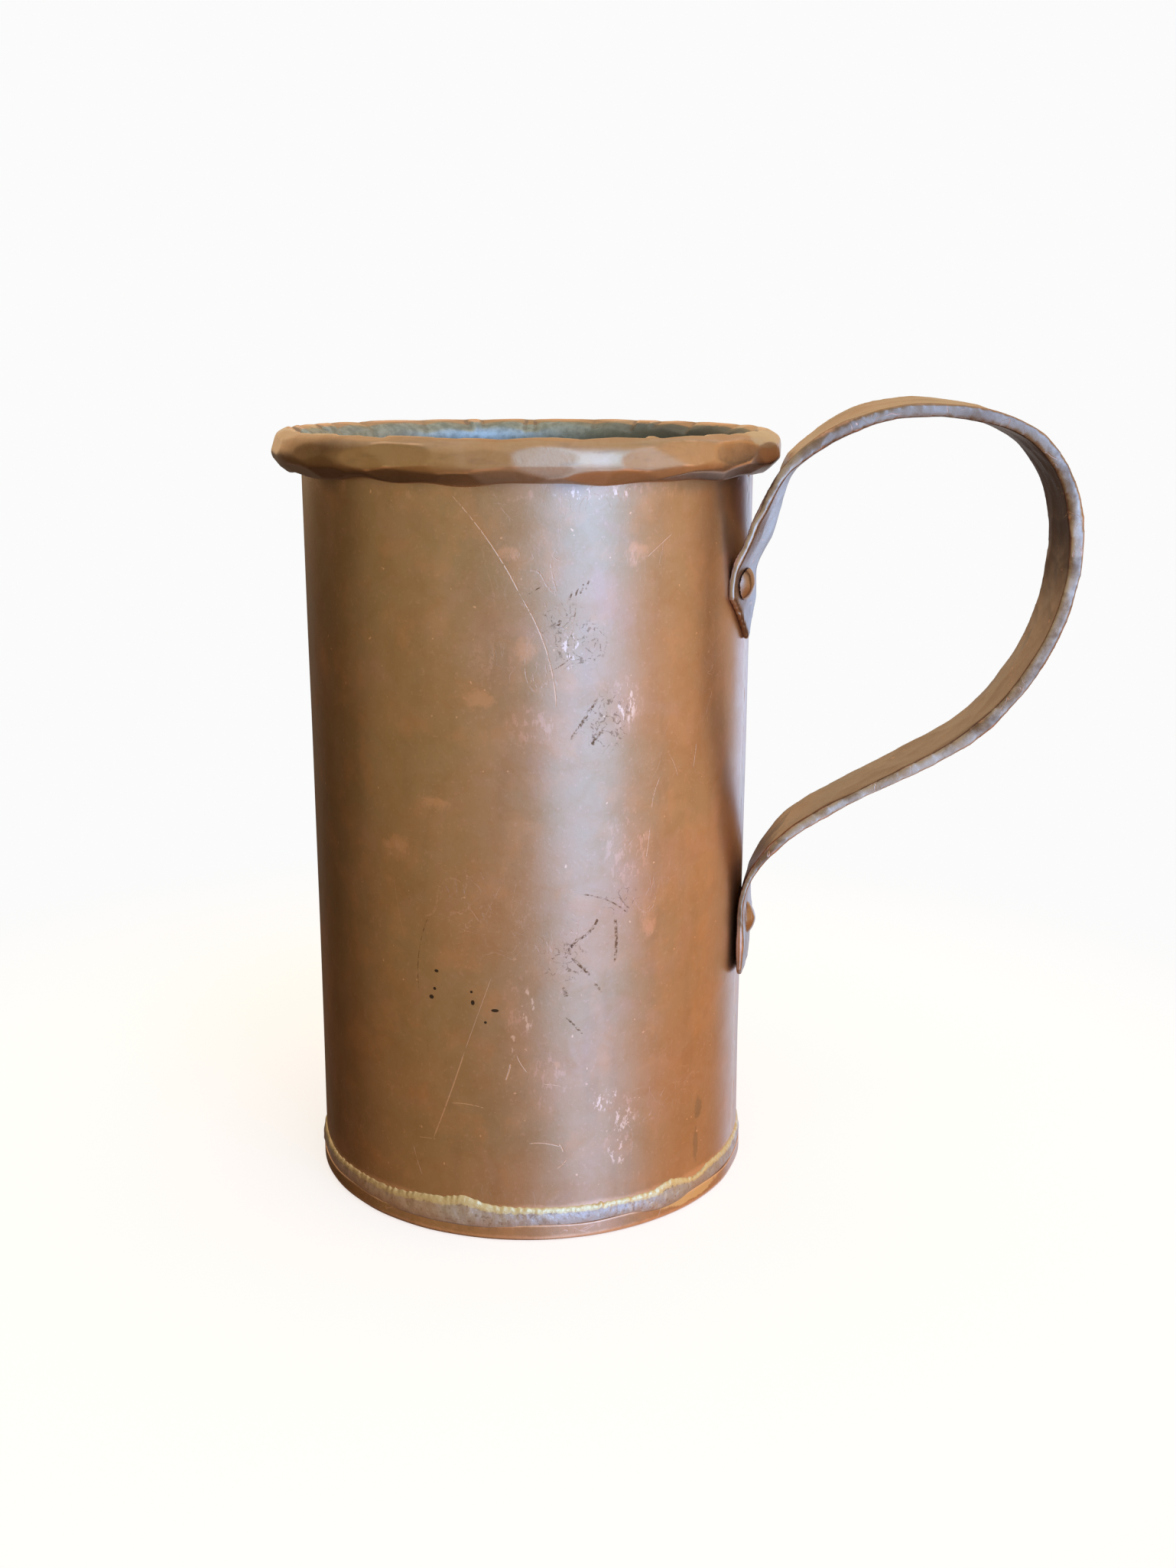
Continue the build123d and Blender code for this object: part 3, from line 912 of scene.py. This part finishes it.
def bead_surface(angle):
    """The rim's outer skin, from the sheet's edge under the bead, out, over the top and down inside."""
    turn = np.radians(np.linspace(BEAD_FROM, BEAD_TO, BEAD_POINTS))[None, :]
    swell = Ripples(seed=121, fewest=3, most=16)(angle)[:, None]
    sag = Ripples(seed=122, fewest=8, most=26)(angle)[:, None]
    lower = np.clip(-np.sin(turn), 0, 1)
    outer = np.clip(np.cos(turn), 0, 1)
    radius = BEAD_CENTRE + BEAD_HALF_WIDTH * np.cos(turn) + BEAD_SWELL * swell * outer
    height = BEAD_HEIGHT + BEAD_HALF_HEIGHT * np.sin(turn) + BEAD_SAG * sag * lower + BEAD_RISE * swell
    points = ring_points(angle[:, None], radius, height)
    return soften(hammer_rim(points))


def stations_from_seam(gap):
    """Angles once round the tube, from one side of the seam to the other, this far from its middle."""
    turn = gap / WALL_OUTER
    return np.linspace(SEAM_ANGLE + turn, SEAM_ANGLE + 2 * math.pi - turn, BODY_STATIONS)


def body_piece():
    """One rolled sheet, open along its side seam, with its top edge curled outwards over the wire.

    Along the rim the two ends of the curl all but meet.
    """
    column = stations_from_seam(SEAM_HALF_WIDTH)[:, None]
    joined = stations_from_seam(RIM_JOINT)
    curl_height = BEAD_HEIGHT - BEAD_HALF_HEIGHT + 0.5

    rise = np.linspace(WALL_BOTTOM, curl_height, WALL_POINTS)[None, :]
    outer_wall = ring_points(column, WALL_OUTER + wall_move(column, rise), rise)
    turn = np.radians(np.linspace(CURL_FROM, CURL_TO, CURL_POINTS))[None, :]
    curl = ring_points(
        joined[:, None],
        BEAD_CENTRE + (BEAD_HALF_WIDTH - SHEET) * np.cos(turn),
        BEAD_HEIGHT + (BEAD_HALF_HEIGHT - SHEET) * np.sin(turn),
    )
    bead = bead_surface(joined)
    fall = np.linspace(BEAD_HEIGHT - 2, WALL_BOTTOM, INNER_WALL_POINTS)[None, :]
    inner_wall = ring_points(column, WALL_INNER + inner_wall_move(column, fall), fall)
    points = np.concatenate([outer_wall, curl, bead, inner_wall], axis=1)
    return new_piece("copper_body", points, body_material(), "body_shell", closed=False)


# ---------------------------------------------------------------- the seam, lining and base

SEAM_POINTS = 260
SEAM_OVERLAP = 0.5
SEAM_WAVER = 0.22
SEAM_CROWN = 0.07
SEAM_BURIED = 0.7
LINING_STATIONS = 540
LINING_TOP = BEAD_HEIGHT - 0.9
LINING_RAGGED = 0.55
LINING_CORNER = 3.0
LINING_RUNS = 0.035
LINING_POOLS = 0.06
PAN_STATIONS = 720
PAN_CORNER = 1.5
PAN_LIP = 0.22
PAN_SWELL = 0.10
PAN_DISH = 0.45
PAN_DENT = 0.05
BURIED = 0.05  # how far a piece's hidden side is sunk into its neighbour
TOUCHING = 0.01  # the gap left between two surfaces that would coincide
WELD = 0.004  # points closer than this are joined


def seam_piece(material):
    """The line of spelter that fills the gap along the tube's side, a little wider than the gap."""
    height = np.linspace(WALL_BOTTOM + 2.5, BEAD_HEIGHT - BEAD_HALF_HEIGHT - 0.4, SEAM_POINTS)
    wobble = Ripples(seed=131, fewest=3, most=40)(height * 0.06)
    half = (SEAM_HALF_WIDTH + SEAM_OVERLAP + SEAM_WAVER * wobble) / WALL_OUTER
    share = np.linspace(-1, 1, 11)[None, :]
    angle = SEAM_ANGLE + half[:, None] * share
    crown = SEAM_CROWN * np.sqrt(np.clip(1 - share**2, 0, 1)) + 0.02 * wobble[:, None] * (1 - share**2)
    out = WALL_OUTER - BURIED + wall_move(angle, height[:, None]) + crown
    front = ring_points(angle, out, height[:, None])
    narrow = SEAM_ANGLE + (half[:, None] * 0.5) * share[:, ::-1]
    back = ring_points(narrow, WALL_OUTER - SEAM_BURIED, height[:, None])
    points = np.concatenate([front, back], axis=1)
    return new_piece("side_seam", points, material, "side_seam_braze", closed=False)


def lining_piece():
    """The wiped tin: a thin uneven skin up the wall and over the floor, with a ragged top edge."""
    angle = all_round(LINING_STATIONS)
    top = LINING_TOP + LINING_RAGGED * Ripples(seed=141, fewest=5, most=60, count=16)(angle)
    inner = WALL_INNER - BURIED - TIN
    floor = WALL_BOTTOM + TIN

    share = np.linspace(1, 0, 60)[None, :] ** 0.8
    rise = floor + LINING_CORNER + (top - floor - LINING_CORNER) * share
    runs = Ripples(seed=142, fewest=12, most=70, upright=0.25, count=18)
    skin = TIN * smooth_step(top - rise, -0.1, 1.5) + LINING_RUNS * runs(angle, rise)
    wall = ring_points(angle, WALL_INNER - BURIED - skin + inner_wall_move(angle, rise), rise)
    bend = np.radians(np.linspace(0, 90, 7)[1:])[None, :]
    turn = ring_points(
        angle,
        inner - LINING_CORNER + LINING_CORNER * np.cos(bend),
        floor + LINING_CORNER - LINING_CORNER * np.sin(bend),
    )
    inwards = np.linspace(inner - LINING_CORNER, 0, 24)[None, 1:]
    pools = Ripples(seed=143, fewest=1, most=9, upright=0.2)(angle, inwards)
    floor_points = ring_points(angle, inwards, floor + LINING_POOLS * pools * smooth_step(inwards, 0, 8))

    outwards = np.linspace(0, WALL_INNER - TOUCHING, 8)[None, :]
    under = ring_points(angle, outwards, WALL_BOTTOM + TOUCHING)
    back_rise = WALL_BOTTOM + (top - WALL_BOTTOM) * np.linspace(0, 1, 30)[None, 1:]
    back = ring_points(angle, WALL_INNER - TOUCHING + inner_wall_move(angle, back_rise), back_rise)
    points = np.concatenate([wall, turn, floor_points, under, back], axis=1)
    return new_piece("tin_inside", points, tin_material(), "tin_lining", merge=WELD)


def pan_top(angle):
    """The height of the base's turned-up edge, which wanders a little."""
    return PAN_TOP - 0.15 + 0.22 * Ripples(seed=151, fewest=3, most=18)(angle)


def pan_piece():
    """The base: a disc, very slightly dished and dented, with its rounded edge turned up round the tube."""
    angle = all_round(PAN_STATIONS)
    swell = PAN_SWELL * Ripples(seed=152, fewest=2, most=30, count=12)(angle)
    outwards = np.linspace(0, PAN_RADIUS - PAN_CORNER, 30)[None, :]
    dish = PAN_DISH * smooth_step(outwards, 43, 20)
    dents = PAN_DENT * Ripples(seed=153, fewest=1, most=12, upright=0.3)(angle, outwards)
    under = ring_points(angle, outwards, dish + np.clip(dents * smooth_step(outwards, 0, 10), 0, 1))
    bend = np.radians(np.linspace(-90, 0, 9)[1:])[None, :]
    turn = ring_points(
        angle,
        PAN_RADIUS - PAN_CORNER + PAN_CORNER * np.cos(bend) + swell * np.cos(bend),
        PAN_CORNER + PAN_CORNER * np.sin(bend),
    )
    top = pan_top(angle)
    rise = PAN_CORNER + (top - PAN_LIP - PAN_CORNER) * np.linspace(0, 1, 8)[None, 1:]
    wall = ring_points(angle, PAN_RADIUS + swell, rise)
    over = np.radians(np.linspace(0, 180, 8)[1:])[None, :]
    lip = ring_points(
        angle,
        PAN_RADIUS + swell - PAN_LIP + PAN_LIP * np.cos(over),
        top - PAN_LIP + PAN_LIP * np.sin(over),
    )
    inside = ring_points(angle, WALL_OUTER + 2 * TOUCHING, np.array([[2.5, 1.25]]))
    floor = ring_points(angle, np.linspace(WALL_INNER, 0, 8)[None, :], WALL_BOTTOM - TOUCHING)
    points = np.concatenate([under, turn, wall, lip, inside, floor], axis=1)
    return new_piece("copper_base", points, base_material(), "base_pan", merge=WELD)


# ---------------------------------------------------------------- the spelter round the base

BRAZE_STATIONS = 1440
BRAZE_BULGE = 0.30
BRAZE_BEAD = 0.15
BRAZE_GRAIN = 0.020
BRAZE_LUMPS = 0.075
BRAZE_RUN = 0.7  # how much further down it reaches where it ran over the base's edge
BRAZE_RUN_OUT = 0.42


def braze_top(angle):
    """The upper edge of the spelter, which ran up in lobes and settled in shallow waves."""
    waves = 0.35 * Ripples(seed=161, fewest=4, most=14)(angle)
    crinkles = 0.17 * Ripples(seed=162, fewest=60, most=240, count=20)(angle)
    lobes = 1.5 * bump(angle, -98, 4.5) + 0.8 * bump(angle, -108, 8) + 1.0 * bump(angle, -43, 4)
    dips = 1.3 * bump(angle, -33, 4.5) + 0.7 * bump(angle, -140, 12)
    return BRAZE_TOP - 0.3 + waves * 0.6 + crinkles + lobes - dips


def braze_spill(angle):
    """1 where the spelter ran down over the base's edge, and 0 where it stopped behind it."""
    run = smooth_step(Ripples(seed=163, fewest=2, most=6)(angle), 0.1, 0.6)
    run = np.maximum(run, bump(angle, -105, 22))
    run = np.maximum(run, bump(angle, -47, 6))
    return run * (1 - bump(angle, -62, 9)) * (1 - 0.8 * bump(angle, -30, 9))


def braze_piece(material):
    """The band of spelter that closes the joint between tube and base."""
    angle = all_round(BRAZE_STATIONS)
    top = braze_top(angle)
    spill = braze_spill(angle)
    lower_edge = pan_top(angle) - 0.10 - spill * BRAZE_RUN
    share = np.linspace(0, 1, 18)[None, :]
    rise = lower_edge + (top - lower_edge) * share
    foot = (PAN_RADIUS - 0.30) + spill * BRAZE_RUN_OUT
    belly = foot + (WALL_OUTER + 0.10 - foot) * smooth_step(share, 0.1, 1.0)
    bulge = BRAZE_BULGE * np.sin(math.pi * np.clip(share * 1.05, 0, 1)) ** 0.7
    bead = BRAZE_BEAD * np.exp(-(((share - 0.84) / 0.12) ** 2))
    grain = Ripples(seed=164, fewest=60, most=300, upright=6.0, count=26)(angle, rise)
    lumps = Ripples(seed=165, fewest=14, most=80, upright=1.6, count=18)(angle, rise)
    rough = (BRAZE_GRAIN * grain + BRAZE_LUMPS * lumps) * smooth_step(share, 0.0, 0.15)
    crusty = bead * (1 + 0.2 * grain)
    fade = np.sqrt(np.clip(1 - smooth_step(share, 0.93, 1.0), 0, 1))
    out = WALL_OUTER + (belly - WALL_OUTER + bulge + crusty + rough) * fade - BURIED * (1 - fade)
    front = ring_points(angle, out + wall_move(angle, rise) * share, rise)
    back_share = np.linspace(1, 0, 5)[None, :]
    back = ring_points(angle, WALL_OUTER - 5 * BURIED, lower_edge + (top - lower_edge) * back_share)
    points = np.concatenate([front, back], axis=1)
    piece = new_piece("base_spelter", points, material, "base_braze")

    shares = np.concatenate([share, back_share], axis=1) + 0 * angle
    stain = np.maximum(bump(angle, -128, 26), 0.6 * bump(angle, 60, 60)) * (1 - shares * 0.5)
    store(piece.data, "upper_edge", smooth_step(shares, 0.45, 0.90))
    store(piece.data, "stained", stain)
    return piece


# ---------------------------------------------------------------- the strap handle and its rivets

FIRST_SMOOTHS = 3
HOLLOW_LEVEL = 0.35  # how much of a hammered surface's height lies below the old surface
STRAP_VOXEL = 0.42
STRAP_BLOWS, STRAP_BLOW_DEPTH = 8.5, 0.42
STRAP_RIDGES, STRAP_RIDGE_DEPTH = 3.6, 0.10
LOOP_MIDDLE = np.array([82.0, 0.0, 130.0])
RIVET_VOXEL = 0.18
RIVET_BLOWS, RIVET_BLOW_DEPTH = 2.6, 0.16


def remeshed(node, voxel):
    """An even, fine copy of a CAD node's mesh, with its arrises softened."""
    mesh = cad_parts[node].data.copy()
    work = bmesh.new()
    work.from_mesh(mesh)
    bmesh.ops.remove_doubles(work, verts=work.verts, dist=0.001 * MM)
    work.to_mesh(mesh)
    work.free()
    carrier = placed("carrier", mesh)
    modifier = carrier.modifiers.new("even", "REMESH")
    modifier.mode = "VOXEL"
    modifier.voxel_size = voxel * MM
    graph = bpy.context.evaluated_depsgraph_get()
    even = bpy.data.meshes.new_from_object(carrier.evaluated_get(graph))
    bpy.data.objects.remove(carrier)
    points, _, edges = mesh_arrays(even)
    move_points(even, smooth_points(points, edges, FIRST_SMOOTHS))
    return even


def smooth_points(points, edges, rounds):
    """Moves each point halfway to its neighbours' middle, round after round."""
    for _ in range(rounds):
        points = points + 0.5 * (neighbour_mean(points, edges) - points)
    return points


def hammer_marks(points, spacing, seed):
    """The height of a hammered surface, of shallow hollows that meet in low ridges, for a depth of 1."""
    low, high = points.min(0) - spacing, points.max(0) + spacing
    count = int(np.prod((high - low) / spacing))
    blows = np.random.default_rng(seed).uniform(low, high, (count, 3))
    tree = kdtree.KDTree(count)
    for number, blow in enumerate(blows):
        tree.insert(blow, number)
    tree.balance()
    distance = np.array([tree.find(point)[2] for point in points])
    return np.clip(distance / spacing, 0, 1) ** 2 - HOLLOW_LEVEL


def move_points(mesh, points):
    mesh.vertices.foreach_set("co", (points * MM).ravel())
    mesh.update()


def strap_piece():
    """The forged strap, with softened arrises, hammer flats and a slightly uneven edge."""
    mesh = remeshed("handle_strap", STRAP_VOXEL)
    points, normals, edges = mesh_arrays(mesh)
    side = np.abs(normals[:, 1])
    to_middle = LOOP_MIDDLE - points
    to_middle[:, 1] = 0
    to_middle /= np.linalg.norm(to_middle, axis=1)[:, None]
    inward_painted_shade = (normals * to_middle).sum(axis=1)
    from_axis = np.hypot(points[:, 0], points[:, 1])
    clear_of_wall = smooth_step(from_axis, WALL_OUTER + 0.3, WALL_OUTER + 1.2)
    marks = hammer_marks(points, STRAP_BLOWS, seed=171)
    ridges = hammer_marks(points, STRAP_RIDGES, seed=172)
    out = (STRAP_BLOW_DEPTH * marks + STRAP_RIDGE_DEPTH * ridges) * clear_of_wall
    move_points(mesh, smooth_points(points + normals * out[:, None], edges, 1))
    material = forged_material("strap_copper", 0.105, 0.170)
    piece = finish_piece("handle", mesh, material, "handle_strap")
    store(piece.data, "side", smooth_step(side, 0.60, 0.90))
    # The faces turned into the loop, which the material gives painted shade.
    store(piece.data, "inward_painted_shade", smooth_step(inward_painted_shade, 0.2, 0.7))
    return piece


def rivet_piece(node, name, seed, material):
    """A rivet whose head was closed with a few hammer blows."""
    mesh = remeshed(node, RIVET_VOXEL)
    points, normals, edges = mesh_arrays(mesh)
    marks = hammer_marks(points, RIVET_BLOWS, seed=seed)
    points = points + normals * (RIVET_BLOW_DEPTH * marks)[:, None]
    move_points(mesh, smooth_points(points, edges, 1))
    return finish_piece(name, mesh, material, node)


# ---------------------------------------------------------------- stage, light and camera

CAMERA_PLACE = (0.06072, -0.36287, 0.18004)
CAMERA_DOWN = 0.2479
CAMERA_HEADING = 0.1304
CAMERA_ROLL = 0.0020
CAMERA_LENS = 38.68
NEAREST_SEEN = 0.01

# The light's colour by bearing, in degrees round the mug from the camera's side, positive to the
# camera's right. A value above 1 is a lamp.
SURROUNDINGS = [
    (-180, (0.10, 0.08, 0.07)),
    (-158, (0.10, 0.07, 0.05)),
    (-148, (0.13, 0.10, 0.08)),
    (-137, (0.08, 0.04, 0.02)),
    (-126, (0.06, 0.03, 0.01)),
    (-108, (0.14, 0.08, 0.03)),
    (-68, (0.43, 0.33, 0.17)),
    (-40, (0.55, 0.46, 0.27)),
    (-18, (0.62, 0.54, 0.40)),
    (4, (0.70, 0.66, 0.60)),
    (16, (1.10, 1.62, 2.60)),
    (31, (1.36, 2.10, 3.75)),
    (45, (1.10, 1.62, 2.60)),
    (59, (0.95, 0.86, 0.78)),
    (75, (0.95, 0.72, 0.46)),
    (112, (0.92, 0.64, 0.36)),
    (130, (0.60, 0.46, 0.32)),
    (141, (1.08, 1.42, 2.05)),
    (155, (1.08, 1.42, 2.05)),
    (167, (0.36, 0.33, 0.32)),
    (178, (0.15, 0.14, 0.14)),
]
WHITE = (1.0, 1.0, 1.0)
LIGHT_FROM_BELOW = (0.72, 0.54, 0.42)
LIGHT_FROM_ABOVE = (0.80, 0.71, 0.56)
LIGHT_FROM_BEHIND = (0.78, 0.54, 0.31)
BACKDROP = (0.965, 0.965, 0.965)
FLOOR_GREY = (0.62, 0.62, 0.62)
FLOOR_REACH = 4.0
FLOOR_FADES = 0.10, 0.26


def colour_by_bearing(sky, share):
    """The light's colour at a share of the way round."""
    ramp = sky.add("ShaderNodeValToRGB")
    ramp.color_ramp.interpolation = "EASE"
    stops = ramp.color_ramp.elements
    for number, (degrees, colour) in enumerate(SURROUNDINGS):
        position = degrees / 360 + 0.5
        stop = stops.new(position) if number else stops[0]
        stop.position = position
        stop.color = (*colour, 1.0)
    stops.remove(stops[-1])
    sky.put(ramp.inputs["Fac"], share)
    return Signal(sky, ramp.outputs["Color"])


def build_surroundings():
    """Soft studio light from all round, with a white background where the camera sees it directly."""
    world = bpy.data.worlds.new("studio")
    bpy.context.scene.world = world
    sky = Nodes(world)
    turned = sky.add("ShaderNodeVectorRotate", rotation_type="Z_AXIS")
    sky.put(turned.inputs["Angle"], -CAMERA_HEADING)
    sky.put(turned.inputs["Vector"], sky.place("Generated"))
    right, away, up = sky.split(Signal(sky, turned.outputs[0]))
    bearing = sky.math("ARCTAN2", right, away * -1.0)
    colour = colour_by_bearing(sky, sky.math("MULTIPLY_ADD", bearing, 1 / (2 * math.pi), 0.5))
    shade = sky.mix(up.step(-0.55, -0.05), LIGHT_FROM_BELOW, WHITE)
    colour = sky.mix(1.0, colour, shade, blend="MULTIPLY")
    colour = sky.mix(up.step(0.35, 0.95), colour, LIGHT_FROM_ABOVE)
    colour = sky.mix(up.step(-0.14, 0.10) * away.step(0.3, 0.8), colour, LIGHT_FROM_BEHIND)
    light = sky.feed("ShaderNodeBackground", colour)
    backdrop = sky.feed("ShaderNodeBackground", BACKDROP)
    to_camera = Signal(sky, sky.add("ShaderNodeLightPath").outputs["Is Camera Ray"])
    sky.end("ShaderNodeOutputWorld", sky.feed("ShaderNodeMixShader", to_camera, light, backdrop))


def floor_material():
    """Pale grey near the mug, fading into the backdrop away from it."""
    material = bpy.data.materials.new("floor")
    nodes = Nodes(material)
    matt = nodes.feed("ShaderNodeBsdfDiffuse", FLOOR_GREY)
    near = nodes.feed("ShaderNodeAddShader", matt, nodes.feed("ShaderNodeEmission", FLOOR_GREY))
    far = nodes.feed("ShaderNodeEmission", BACKDROP)
    distance = nodes.add("ShaderNodeVectorMath", operation="LENGTH")
    nodes.put(distance.inputs[0], nodes.place("Object"))
    fade = Signal(nodes, distance.outputs["Value"]).step(*FLOOR_FADES)
    nodes.end("ShaderNodeOutputMaterial", nodes.feed("ShaderNodeMixShader", fade, near, far))
    return material


def build_floor():
    """A floor that takes the mug's soft shadow and is left out of its reflections."""
    mesh = bpy.data.meshes.new("floor")
    corners = [(-1, -1, 0), (1, -1, 0), (1, 1, 0), (-1, 1, 0)]
    mesh.from_pydata((np.array(corners) * FLOOR_REACH).tolist(), [], [(0, 1, 2, 3)])
    mesh.materials.append(floor_material())
    floor = placed("floor", mesh)
    floor.visible_glossy = False
    floor.visible_shadow = False


def build_camera():
    data = bpy.data.cameras.new("camera")
    data.lens = CAMERA_LENS
    data.clip_start = NEAREST_SEEN
    camera = placed("camera", data)
    turn = Matrix.Rotation(CAMERA_HEADING, 4, "Z")
    tilt = Matrix.Rotation(math.pi / 2 - CAMERA_DOWN, 4, "X")
    roll = Matrix.Rotation(CAMERA_ROLL, 4, "Z")
    camera.matrix_world = Matrix.Translation(CAMERA_PLACE) @ turn @ tilt @ roll
    bpy.context.scene.camera = camera


# ---------------------------------------------------------------- the whole scene


def build_mug():
    body_piece()
    seam_piece(seam_material())
    lining_piece()
    pan_piece()
    braze_piece(spelter_material())
    strap_piece()
    rivet_copper = forged_material("rivet_copper", 0.030, 0.060)
    rivet_piece("upper_rivet", "rivet_upper", 181, rivet_copper)
    rivet_piece("lower_rivet", "rivet_lower", 182, rivet_copper)
    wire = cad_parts["rim_wire"]
    wire.data.materials.clear()
    wire.data.materials.append(iron_material())


bpy.context.scene.view_settings.view_transform = "Standard"
build_mug()
build_surroundings()
build_floor()
build_camera()

bpy.context.view_layer.update()
